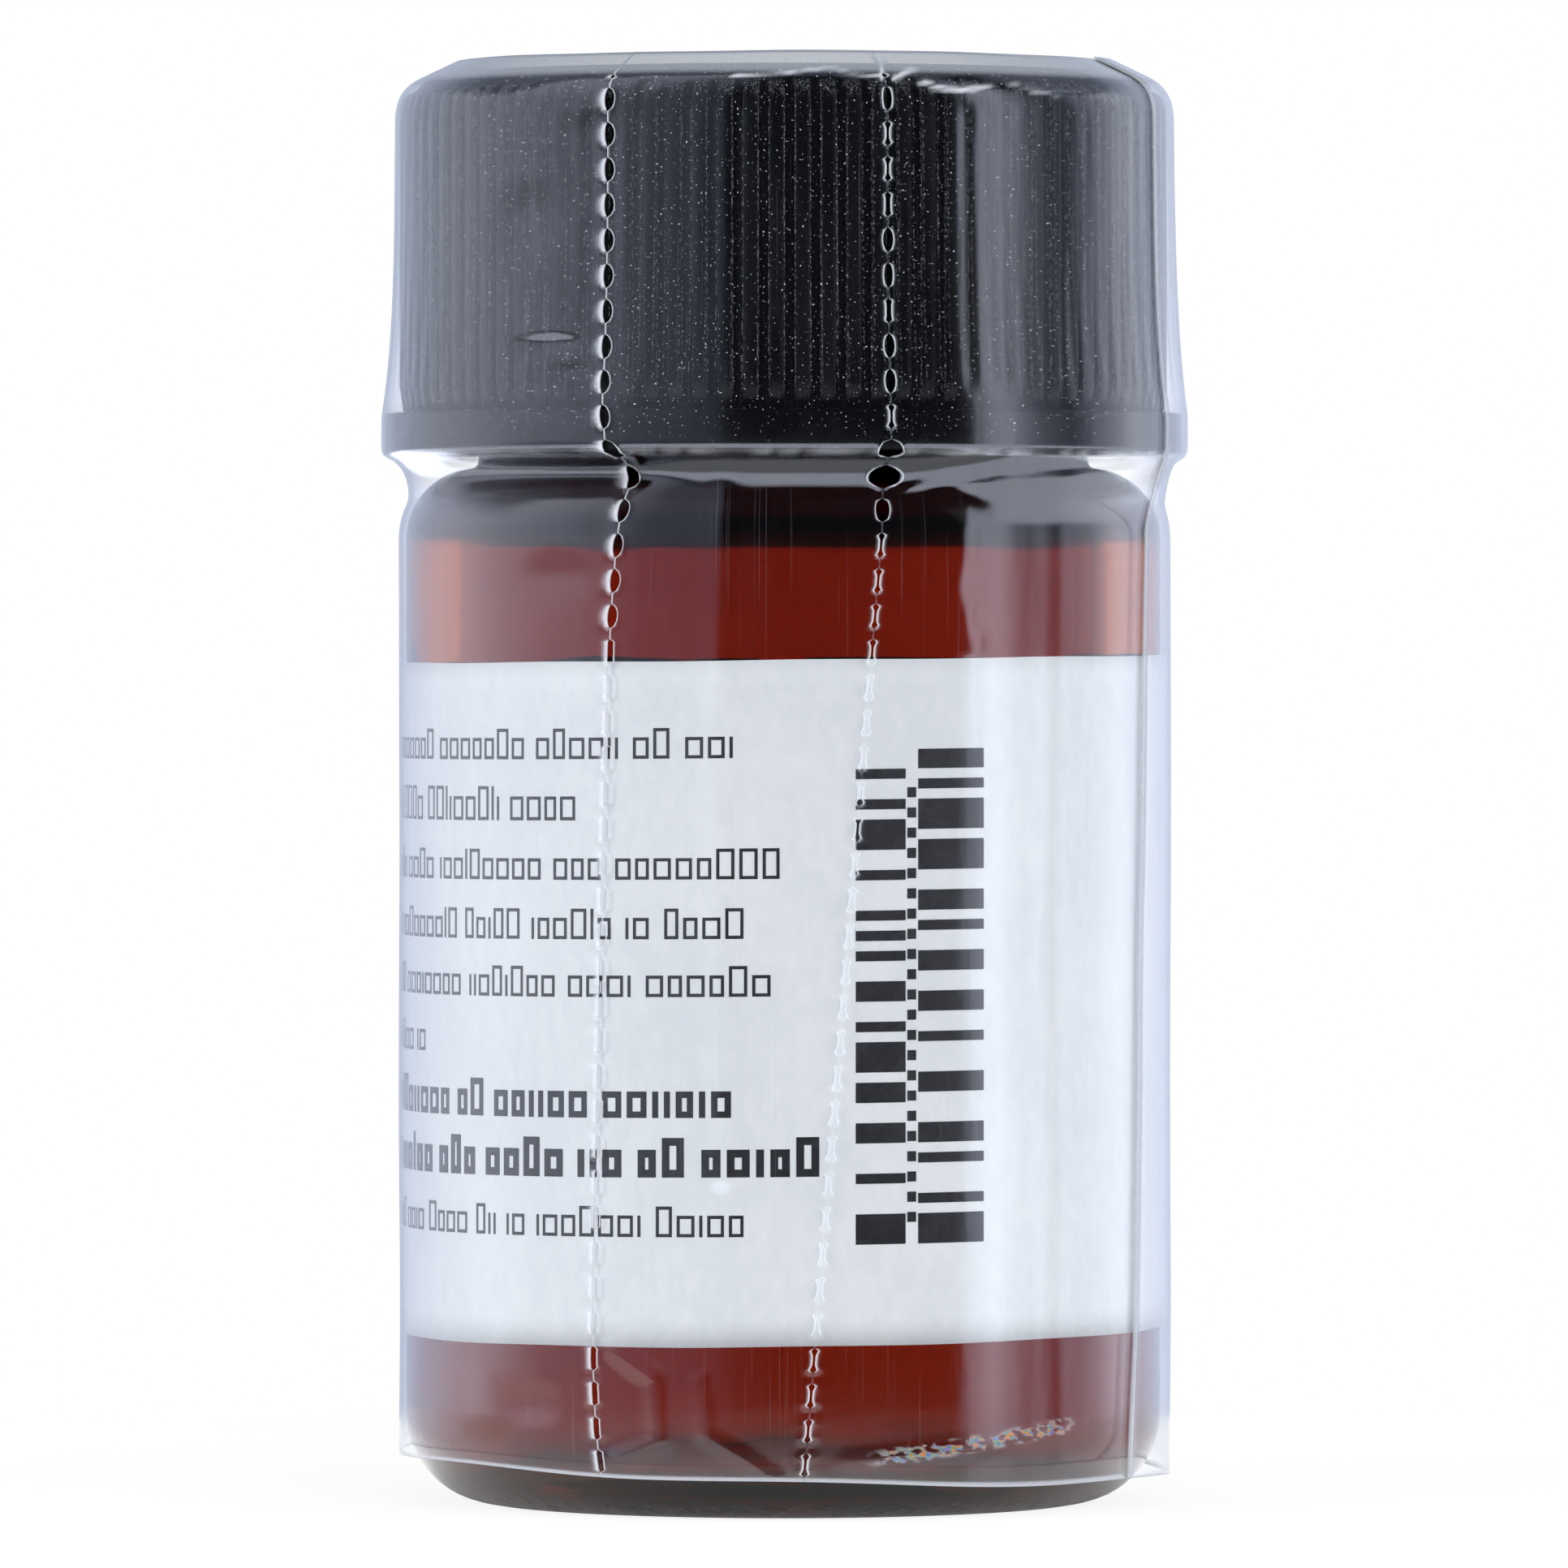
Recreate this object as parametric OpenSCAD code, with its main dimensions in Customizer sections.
// Eye drop bottle: amber glass with a ribbed screw cap, a wrapped paper label,
// a dropper plug in the neck, and a clear shrink film with a perforated tear strip.
// The origin is the centre of the base, +Z runs up the neck, and -Y is the front.

/* [Glass body] */
// Outer diameter of the body
body_d = 21.4; // [19.5:0.1:30]
// Height at which the straight wall ends and the shoulder starts
wall_top = 27.3; // [24.5:0.1:40]
// Thickness of the side wall
glass_t = 1.5; // [0.8:0.1:2]
// Thickness of the base
base_t = 2.2; // [1.4:0.1:4]
// Radius of the heel, between wall and base
heel_r = 2.5; // [1:0.1:4]
// Radius of the heel inside
inner_heel_r = 1.6; // [0.5:0.1:3]
// Radius of the shoulder, between wall and neck
shoulder_r = 2; // [0.8:0.1:4]
// How far the glass rises inside the neck above the shoulder before its bore is straight
inner_rise = 0.3; // [0.1:0.1:1]
// Diameter of the hollow in the underside
hollow_d = 12.4; // [8:0.1:14]
// Depth of the hollow in the underside
hollow_depth = 0.6; // [0.2:0.05:1]

/* [Neck] */
// Diameter of the neck under its thread
neck_d = 17.3; // [15.5:0.1:18.3]
// Bore of the neck
bore_d = 12.4; // [9:0.1:14]
// Height of the neck above the shoulder
neck_h = 7.8; // [7.3:0.1:9]
// Rounding of the rim, inside and outside
rim_round = 0.4; // [0.1:0.05:0.7]

/* [Thread] */
// Rise of the thread in one turn
pitch = 3.175; // [2.8:0.025:3.6]
// Depth of the glass thread
glass_thread_depth = 1; // [0.5:0.05:1.1]
// Width of the glass thread at the neck
glass_thread_root = 1.9; // [1.2:0.05:2]
// Width of the glass thread at its crest
glass_thread_crest = 0.7; // [0.3:0.05:1]
// Turns of the glass thread
glass_turns = 1.15; // [0.9:0.05:1.3]
// Distance from the rim down to the middle of the thread's top end
thread_start = 1.9; // [1.5:0.05:2.3]
// Depth of the cap's thread
cap_thread_depth = 0.9; // [0.5:0.05:1]
// Width of the cap's thread at the wall
cap_thread_root = 1.4; // [0.8:0.05:1.6]
// Width of the cap's thread at its crest
cap_thread_crest = 0.6; // [0.3:0.05:0.8]
// Turns of the cap's thread
cap_turns = 1; // [0.5:0.05:1.1]
// Turns by which the cap's thread starts later than the glass thread
cap_thread_lag = 0.17; // [0.05:0.01:0.25]
// Play between the flanks of the two threads
flank_play = 0.1; // [0.05:0.01:0.2]

/* [Screw cap] */
// Wall between the cap's bore and the floor of its grooves
cap_wall = 0.81; // [0.5:0.01:1.2]
// Clearance between the crest of the glass thread and the cap's bore
bore_play = 0.2; // [0.1:0.05:0.4]
// Thickness of the cap's top
cap_top_t = 1.6; // [0.8:0.1:2]
// Gap between the bottle's shoulder and the cap's lower edge
skirt_gap = 0.4; // [0.2:0.05:0.8]
// Radius of the cap's top edge
cap_edge_r = 1.2; // [0.4:0.1:1.4]
// Height of the plain band at the lower edge
band_h = 1.15; // [0.6:0.05:2.5]
// How far the band stands out from the floor of the grooves
band_out = 0.64; // [0.4:0.02:0.9]
// Chamfer of the band's edges
band_chamfer = 0.1; // [0.05:0.01:0.2]
// Number of ribs round the cap
rib_count = 95; // [60:1:120]
// How far a rib stands out from the floor of the grooves
rib_out = 0.22; // [0.1:0.01:0.3]
// Share of each step that the rib takes, the rest being groove
rib_share = 0.66; // [0.4:0.01:0.8]
// Distance from the cap's top down to the top ends of the ribs
rib_drop = 0.56; // [0.4:0.02:0.8]
// Rounding of the ribs' top ends
rib_edge_r = 0.6; // [0.2:0.1:1]

/* [Liner and dropper plug] */
// Thickness of the sealing disc under the cap's top
liner_t = 0.9; // [0.5:0.1:1.5]
// Gap round the sealing disc
liner_play = 0.15; // [0.05:0.05:0.4]
// Gap between the sealing disc and the plug's flange
seal_gap = 0.05; // [0.03:0.01:0.1]
// Thickness of the plug's flange
flange_t = 0.8; // [0.5:0.05:1.2]
// How far the plug's flange reaches over the rim
flange_out = 1.5; // [0.8:0.1:2]
// Depth of the plug in the neck
plug_depth = 5; // [4.3:0.1:6.5]
// Clearance between the plug and the neck's bore
plug_play = 0.02; // [0.01:0.01:0.05]
// Wall of the plug
plug_wall = 1.2; // [0.8:0.1:1.6]
// Thickness of the plug's floor, which carries the nozzle
plug_floor = 1; // [0.6:0.1:1.4]
// Diameter of the nozzle at its foot
nozzle_d = 4; // [3:0.1:4.6]
// Diameter of the nozzle at its tip
tip_d = 2.6; // [1.6:0.1:2.8]
// How far the tip stays below the flange
tip_drop = 0.3; // [0.1:0.05:1]
// Diameter of the drop hole in the tip
orifice_d = 0.6; // [0.4:0.05:1]
// Length of the drop hole
orifice_len = 1.5; // [0.6:0.1:2]
// Diameter of the passage under the drop hole
passage_d = 1.4; // [1:0.1:1.4]
// Diameter of the air vent
vent_d = 0.6; // [0.4:0.05:0.8]
// Wall of the vent tube
vent_wall = 0.4; // [0.3:0.05:0.5]
// Length of the vent tube under the plug's floor
vent_len = 3; // [1.5:0.1:4]

/* [Drops] */
// Height of the solution's surface
fill_z = 21.4; // [12:0.1:22.5]
// Gap between the solution and the glass
fill_gap = 0.02; // [0.01:0.01:0.05]

/* [Label] */
// Height of the label's lower edge
label_z = 4.9; // [4:0.1:6.5]
// Height of the label
label_h = 19; // [12:0.1:20]
// Thickness of the paper
label_t = 0.07; // [0.05:0.01:0.15]
// Thickness of the glue under the paper
glue_t = 0.01; // [0.01:0.01:0.03]
// Width of the bare strip between the label's ends, at the back
label_gap = 1.5; // [0.5:0.1:6]

/* [Shrink film] */
// Thickness of the film
film_t = 0.06; // [0.04:0.01:0.12]
// Clearance between the film and the label
film_play = 0.03; // [0.03:0.01:0.1]
// Clearance between the film and the cap
cap_play = 0.07; // [0.07:0.01:0.15]
// Height of the film's lower edge
film_z = 1.1; // [0.6:0.1:3]
// Angle over which the film hugs the shoulder before it bridges to the cap
hug_angle = 30; // [10:1:35]
// Share of the free height between shoulder and band over which the film's waist stays upright
waist_share = 0.36; // [0.1:0.02:0.6]
// How far below the cap's lower edge the film turns up round the band
band_drop = 0.1; // [0.1:0.02:0.3]
// Height over which the film settles from the band on to the ribs
settle = 2.6; // [1:0.1:4]
// Gap between the cap's top edge and the film's lip that leans over it
lip_play = 0.11; // [0.07:0.01:0.2]
// Radius of the film over the cap's top edge
lip_round = 1; // [0.8:0.05:1.1]
// Slope of the film's lip above the cap's top
lip_slope = 26; // [15:1:35]
// Diameter of the opening in the film above the cap
lip_d = 18.6; // [14:0.1:19.5]
// Angle of the film's lap seam, from the front towards the right
seam_angle = 69; // [40:1:80]
// Width of the seam's lap
lap_w = 4; // [2:0.1:5]

/* [Tear strip] */
// Left edge of the strip at its top, from the axis
left_top = -4.88; // [-6:0.02:-4]
// Left edge of the strip at its bottom
left_bottom = -5.2; // [-6:0.02:-4]
// Right edge of the strip at its top
right_top = 2.8; // [1:0.02:4]
// Right edge of the strip at its bottom
right_bottom = 0.6; // [0:0.02:4]
// Height below which the edges start to lean
lean_z = 29; // [20:0.1:32]
// Width of the slit between strip and film
slit = 0.04; // [0.03:0.01:0.06]
// Distance between the perforations
perforation_pitch = 0.98; // [0.8:0.02:1.6]
// Height of a perforation
perforation_h = 0.7; // [0.4:0.05:0.75]
// Width of a perforation
perforation_w = 0.36; // [0.2:0.02:0.5]

/* [Hidden] */

// Flats on a circle, on a quarter of a fillet and on a turn of thread
$fn = 96;
arc_steps = 8;
thread_steps = 30;
// Angle over which a thread grows to its full depth
thread_fade = 40;
// Height of a thread where it starts, as a share of its depth
thread_tip = 0.05;
// How deep a thread's root lies in its wall, and how far a drill runs past a face
sink = 0.3;

body_r = body_d / 2;
neck_r = neck_d / 2;
bore_r = bore_d / 2;
inner_r = body_r - glass_t;
shoulder_round = min(shoulder_r, body_r - neck_r);
shoulder_z = wall_top + shoulder_round;
inner_shoulder_r = inner_r - bore_r;
hollow_r = (pow(hollow_d / 2, 2) + pow(hollow_depth, 2)) / 2 / hollow_depth;
rim_z = shoulder_z + neck_h;

glass_crest_r = neck_r + glass_thread_depth;
cap_bore_r = glass_crest_r + bore_play;
cap_crest_r = cap_bore_r - cap_thread_depth;
cap_r = cap_bore_r + cap_wall;
rib_r = cap_r + rib_out;
band_r = cap_r + band_out;
cap_z = shoulder_z + skirt_gap;
band_z = cap_z + band_h;
liner_z = rim_z + flange_t + seal_gap;
under_top_z = liner_z + liner_t;
cap_top_z = under_top_z + cap_top_t;

// The cap's thread hangs below the glass thread by both half widths where they meet, and the play
glass_slope = (glass_thread_root - glass_thread_crest) / 2 / glass_thread_depth;
glass_half_width = glass_thread_crest / 2 + glass_slope * (glass_crest_r - cap_crest_r);
thread_hang = glass_half_width + cap_thread_crest / 2 + flank_play;
glass_thread_z = rim_z - thread_start - pitch * glass_turns;
cap_thread_z = glass_thread_z - thread_hang + pitch * cap_thread_lag;

label_r = body_r + glue_t;
film_r = label_r + label_t + film_play;

// Points of an arc in the profile plane, from one angle to the other
function arc(centre, radius, from, to, steps = arc_steps) =
    [for (i = [0:steps]) let (a = from + (to - from) * i / steps)
        centre + radius * [cos(a), sin(a)]];

// Direction of the outline at point i, from its neighbours
function heading(path, i) =
    let (d = path[min(i + 1, len(path) - 1)] - path[max(i - 1, 0)]) d / norm(d);

// The outline moved to its right-hand side by a distance
function beside(path, distance) =
    [for (i = [0:len(path) - 1]) let (h = heading(path, i))
        path[i] + distance * [h[1], -h[0]]];

function reversed(path) = [for (i = [len(path) - 1:-1:0]) path[i]];

// Outer outline of the glass, from the hollow's middle up to the rim
function glass_outside() = concat(
    arc([0, hollow_depth - hollow_r], hollow_r, 90, 90 - asin(hollow_d / 2 / hollow_r), 4),
    arc([body_r - heel_r, heel_r], heel_r, -90, 0),
    arc([body_r - shoulder_round, wall_top], shoulder_round, 0, 90),
    [[neck_r, shoulder_z]],
    arc([neck_r - rim_round, rim_z - rim_round], rim_round, 0, 90, 4));

// Outline of the glass's floor and inner heel, moved inwards by a gap
function floor_inside(gap = 0) = concat(
    [[0, base_t + gap]],
    arc([inner_r - inner_heel_r, base_t + inner_heel_r], inner_heel_r - gap, -90, 0));

// Outline of the rim's inner edge, the bore and the inner shoulder, downwards
function bore_inside() = concat(
    arc([bore_r + rim_round, rim_z - rim_round], rim_round, 90, 180, 4),
    arc([bore_r, shoulder_z + inner_rise - inner_shoulder_r], inner_shoulder_r, 90, 0));

// A ridge that climbs round the axis and fades out at both ends
module ridge(root_r, crest_r, root_w, crest_w, turns) {
    last = ceil(thread_steps * turns);
    side = crest_r > root_r ? -1 : 1;
    foot_r = root_r + side * sink;
    function crest(a) = root_r + (crest_r - root_r)
        * min(1, thread_tip + a / thread_fade, thread_tip + (360 * turns - a) / thread_fade);
    function section(a) = [[foot_r, side * root_w / 2], [crest(a), side * crest_w / 2],
                           [crest(a), -side * crest_w / 2], [foot_r, -side * root_w / 2]];
    points = [for (i = [0:last], p = section(360 * turns * i / last))
        let (a = 360 * turns * i / last)
            [p[0] * cos(a), p[0] * sin(a), p[1] + pitch * a / 360]];
    sides = [for (i = [0:last - 1], k = [0:3])
        let (a = 4 * i + k, b = 4 * i + (k + 1) % 4)
            each [[a, b, b + 4], [a, b + 4, a + 4]]];
    ends = [[3, 2, 1], [3, 1, 0], [for (k = [0:2]) 4 * last + k],
            [4 * last, 4 * last + 2, 4 * last + 3]];
    polyhedron(points, concat(sides, ends));
}

// Blown amber glass: heel, straight wall, round shoulder, and a neck with one turn of thread
module bottle() {
    color([0.42, 0.13, 0.02, 0.7]) {
        rotate_extrude() polygon(concat(glass_outside(), bore_inside(), reversed(floor_inside())));
        translate([0, 0, glass_thread_z])
            ridge(neck_r, glass_crest_r, glass_thread_root, glass_thread_crest, glass_turns);
    }
}

// The solution, which fills the glass up to its surface
module eye_drops() {
    color([0.9, 0.95, 1, 0.4])
        rotate_extrude() polygon(concat(
            floor_inside(fill_gap),
            [[inner_r - fill_gap, fill_z], [0, fill_z]]));
}

// Soft plug pressed into the neck: a flange on the rim, a well, a nozzle and an air vent
module dropper_insert() {
    flange_z = rim_z + flange_t;
    plug_z = rim_z - plug_depth;
    plug_r = bore_r - plug_play;
    well_r = plug_r - plug_wall;
    floor_z = plug_z + plug_floor;
    tip_z = flange_z - tip_drop;
    vent_x = (well_r + nozzle_d / 2) / 2;
    color("whitesmoke") difference() {
        union() {
            rotate_extrude() polygon([
                [0, plug_z], [plug_r - plug_wall / 2, plug_z], [plug_r, floor_z], [plug_r, rim_z],
                [bore_r + flange_out, rim_z], [bore_r + flange_out, flange_z], [well_r, flange_z],
                [well_r, floor_z], [nozzle_d / 2, floor_z], [tip_d / 2, tip_z], [0, tip_z]]);
            translate([vent_x, 0, plug_z - vent_len])
                cylinder(d = vent_d + 2 * vent_wall, h = vent_len + plug_floor / 2);
        }
        translate([0, 0, plug_z - sink])
            cylinder(d = orifice_d, h = tip_z - plug_z + 2 * sink);
        translate([0, 0, plug_z - sink])
            cylinder(d = passage_d, h = tip_z - orifice_len - plug_z + sink);
        translate([vent_x, 0, plug_z - vent_len - sink])
            cylinder(d = vent_d, h = vent_len + plug_floor + 2 * sink);
    }
}

// Outline of the cap without its ribs: band, groove floor, round edge, top and bore
function cap_outline() = concat(
    [[cap_bore_r, cap_z], [band_r - band_chamfer, cap_z], [band_r, cap_z + band_chamfer],
     [band_r, band_z - band_chamfer], [band_r - band_chamfer, band_z], [cap_r, band_z]],
    arc([cap_r - cap_edge_r, cap_top_z - cap_edge_r], cap_edge_r, 0, 90),
    [[0, cap_top_z], [0, under_top_z], [cap_bore_r, under_top_z]]);

// Cross-section of all the ribs, with feet inside the wall and faces still to be cut back
module rib_section() {
    step = 360 / rib_count;
    half = step * rib_share / 2;
    foot_r = cap_r - cap_wall / 2;
    corners = [[foot_r, -half], [band_r, -half], [band_r, half], [foot_r, half]];
    polygon([for (i = [0:rib_count - 1], c = corners)
        c[0] * [cos(i * step + c[1]), sin(i * step + c[1])]]);
}

// Black moulded closure with upright ribs over a plain band
module screw_cap() {
    foot_r = cap_r - cap_wall / 2;
    rib_top_z = cap_top_z - rib_drop;
    color([0.06, 0.06, 0.07]) {
        rotate_extrude() polygon(cap_outline());
        intersection() {
            translate([0, 0, band_z - cap_wall / 4])
                linear_extrude(cap_top_z - band_z) rib_section();
            rotate_extrude() polygon(concat(
                [[foot_r, cap_z], [rib_r, cap_z]],
                arc([rib_r - rib_edge_r, rib_top_z - rib_edge_r], rib_edge_r, 0, 90),
                [[foot_r, rib_top_z]]));
        }
        translate([0, 0, cap_thread_z])
            rotate([0, 0, 360 * cap_thread_lag])
                ridge(cap_bore_r, cap_crest_r, cap_thread_root, cap_thread_crest, cap_turns);
    }
}

// Sealing disc held under the cap's top
module cap_liner() {
    color("gainsboro") translate([0, 0, liner_z]) cylinder(r = cap_bore_r - liner_play, h = liner_t);
}

// Paper wrapped round the glass, its ends apart at the back
module label() {
    gap_angle = label_gap / label_r * 180 / PI;
    color("white")
        rotate([0, 0, 90 + gap_angle / 2])
            rotate_extrude(angle = 360 - gap_angle)
                translate([label_r, label_z]) square([label_t, label_h]);
}

// Radius of the film's inner face over the ribs, where it settles from the band
function settled_r(z) = rib_r + cap_play + (band_r - rib_r) * exp(-(z - band_z) / settle);

// Inner face of the film: wall, shoulder, waist, band, ribs, top edge and lip. The turn over
// the top edge stands as high as the straight lip needs to pass the cap's round edge.
function film_inside() =
    let (hug = film_r - body_r + shoulder_round,
         hugged = arc([body_r - shoulder_round, wall_top], hug, 0, hug_angle),
         waist_r = hugged[arc_steps][0],
         band_turn_z = cap_z - band_drop,
         waist_z = hugged[arc_steps][1] + waist_share * (band_turn_z - hugged[arc_steps][1]),
         edge_z = cap_top_z - cap_edge_r,
         turn_r = settled_r(edge_z) - lip_round,
         beyond_edge = (turn_r - cap_r + cap_edge_r) * sin(lip_slope),
         turn_z = edge_z + (cap_edge_r + lip_play - lip_round - beyond_edge) / cos(lip_slope),
         turn = arc([turn_r, turn_z], lip_round, 0, 90 - lip_slope),
         brim = turn[arc_steps],
         lip_r = lip_d / 2)
    concat(
        [[film_r, film_z]],
        hugged,
        [[waist_r, waist_z],
         [(waist_r + band_r) / 2, (waist_z + band_turn_z) / 2],
         [band_r + cap_play, band_turn_z]],
        [for (i = [0:arc_steps - 1]) let (z = band_z + (turn_z - band_z) * pow(i / arc_steps, 1.5))
            [settled_r(z), z]],
        turn,
        [[lip_r, brim[1] + (brim[0] - lip_r) * tan(lip_slope)]]);

// A layer of film between two distances from its inner face
module film_layer(from, to) {
    path = film_inside();
    polygon(concat(beside(path, to), reversed(beside(path, from))));
}

// Where a tear line stands at a height: upright at the cap, leaning below
function tear_x(z, top_x, bottom_x) =
    top_x + (bottom_x - top_x) * max(0, lean_z - z) / (lean_z - film_z);

// The front of the film between the two tear lines, widened on each side by a margin
module strip_front(margin) {
    low = film_z - film_t;
    high = cap_top_z + lip_d;
    rotate([90, 0, 0]) linear_extrude(body_d) polygon([
        [left_top - margin, high], [left_top - margin, lean_z],
        [tear_x(low, left_top, left_bottom) - margin, low],
        [tear_x(low, right_top, right_bottom) + margin, low],
        [right_top + margin, lean_z], [right_top + margin, high]]);
}

// A row of slots down each tear line
module perforations() {
    rows = floor((cap_top_z - cap_edge_r - film_z) / perforation_pitch);
    for (line = [[left_top, left_bottom], [right_top, right_bottom]], i = [0:rows - 1]) {
        z = film_z + perforation_pitch * (i + 0.5);
        translate([tear_x(z, line[0], line[1]), -body_r, z])
            cube([perforation_w, body_r, perforation_h], center = true);
    }
}

// The film all round but for the strip, with its ends lapped at the seam
module shrink_sleeve() {
    lap_angle = lap_w / film_r * 180 / PI;
    color([0.85, 0.93, 0.97, 0.3]) difference() {
        union() {
            rotate_extrude() film_layer(0, film_t);
            rotate([0, 0, seam_angle - 90])
                rotate_extrude(angle = lap_angle) film_layer(film_t / 2, 2 * film_t);
        }
        strip_front(slit / 2);
        perforations();
    }
}

// The strip of film between the two tear lines
module tear_strip() {
    color([0.75, 0.88, 0.97, 0.35]) difference() {
        intersection() {
            rotate_extrude() film_layer(0, film_t);
            strip_front(-slit / 2);
        }
        perforations();
    }
}

bottle();
eye_drops();
dropper_insert();
screw_cap();
cap_liner();
label();
shrink_sleeve();
tear_strip();
